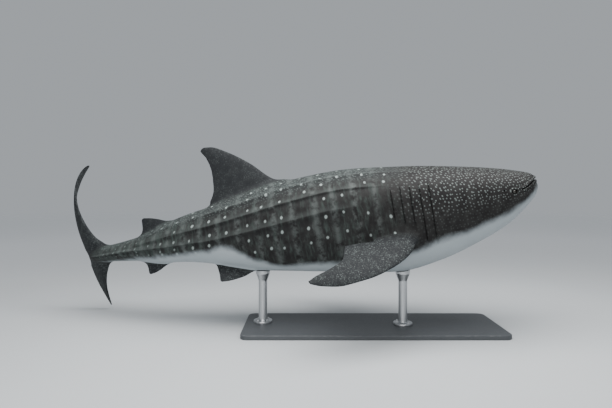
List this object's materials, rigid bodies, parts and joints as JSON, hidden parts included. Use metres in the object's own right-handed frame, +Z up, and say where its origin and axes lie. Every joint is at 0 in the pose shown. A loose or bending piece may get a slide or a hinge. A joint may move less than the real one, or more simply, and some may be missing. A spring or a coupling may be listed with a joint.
{
  "type": "whale shark",
  "caption": "Life-size whale shark in a cruising pose with swept tail, broad flat head, gill flaps, flank ridges and all fins, held over a flat base by short rods.",
  "frame": {"origin": "middle of the flat underside of the stand's base, under the animal's centre of mass", "axes": "+X towards the animal's head, +Y to its left side, +Z up"},
  "size_m": [6.9823, 3.4353, 2.5185],
  "materials": {
    "skin": "dark grey skin with pale spots and bars over a pale belly, matt",
    "eye": "near-black, wet gloss",
    "stand_paint": "satin dark grey paint",
    "stand_steel": "brushed"
  },
  "bodies": {
    "root": {"head": "skin", "lower_jaw": "skin", "gill_shoulders": "skin", "trunk_front": "skin", "trunk_rear": "skin", "tail_base": "skin", "tail_stalk": "skin", "caudal_fin_upper": "skin", "caudal_fin_lower": "skin", "dorsal_fin_first": "skin", "dorsal_fin_second": "skin", "anal_fin": "skin", "pectoral_fin_left": "skin", "pectoral_fin_right": "skin", "pelvic_fin_left": "skin", "pelvic_fin_right": "skin", "eye_left": "eye", "eye_right": "eye", "stand_base": "stand_paint", "stand_rod_front": "stand_steel", "stand_rod_rear": "stand_steel"}
  },
  "joints": []
}
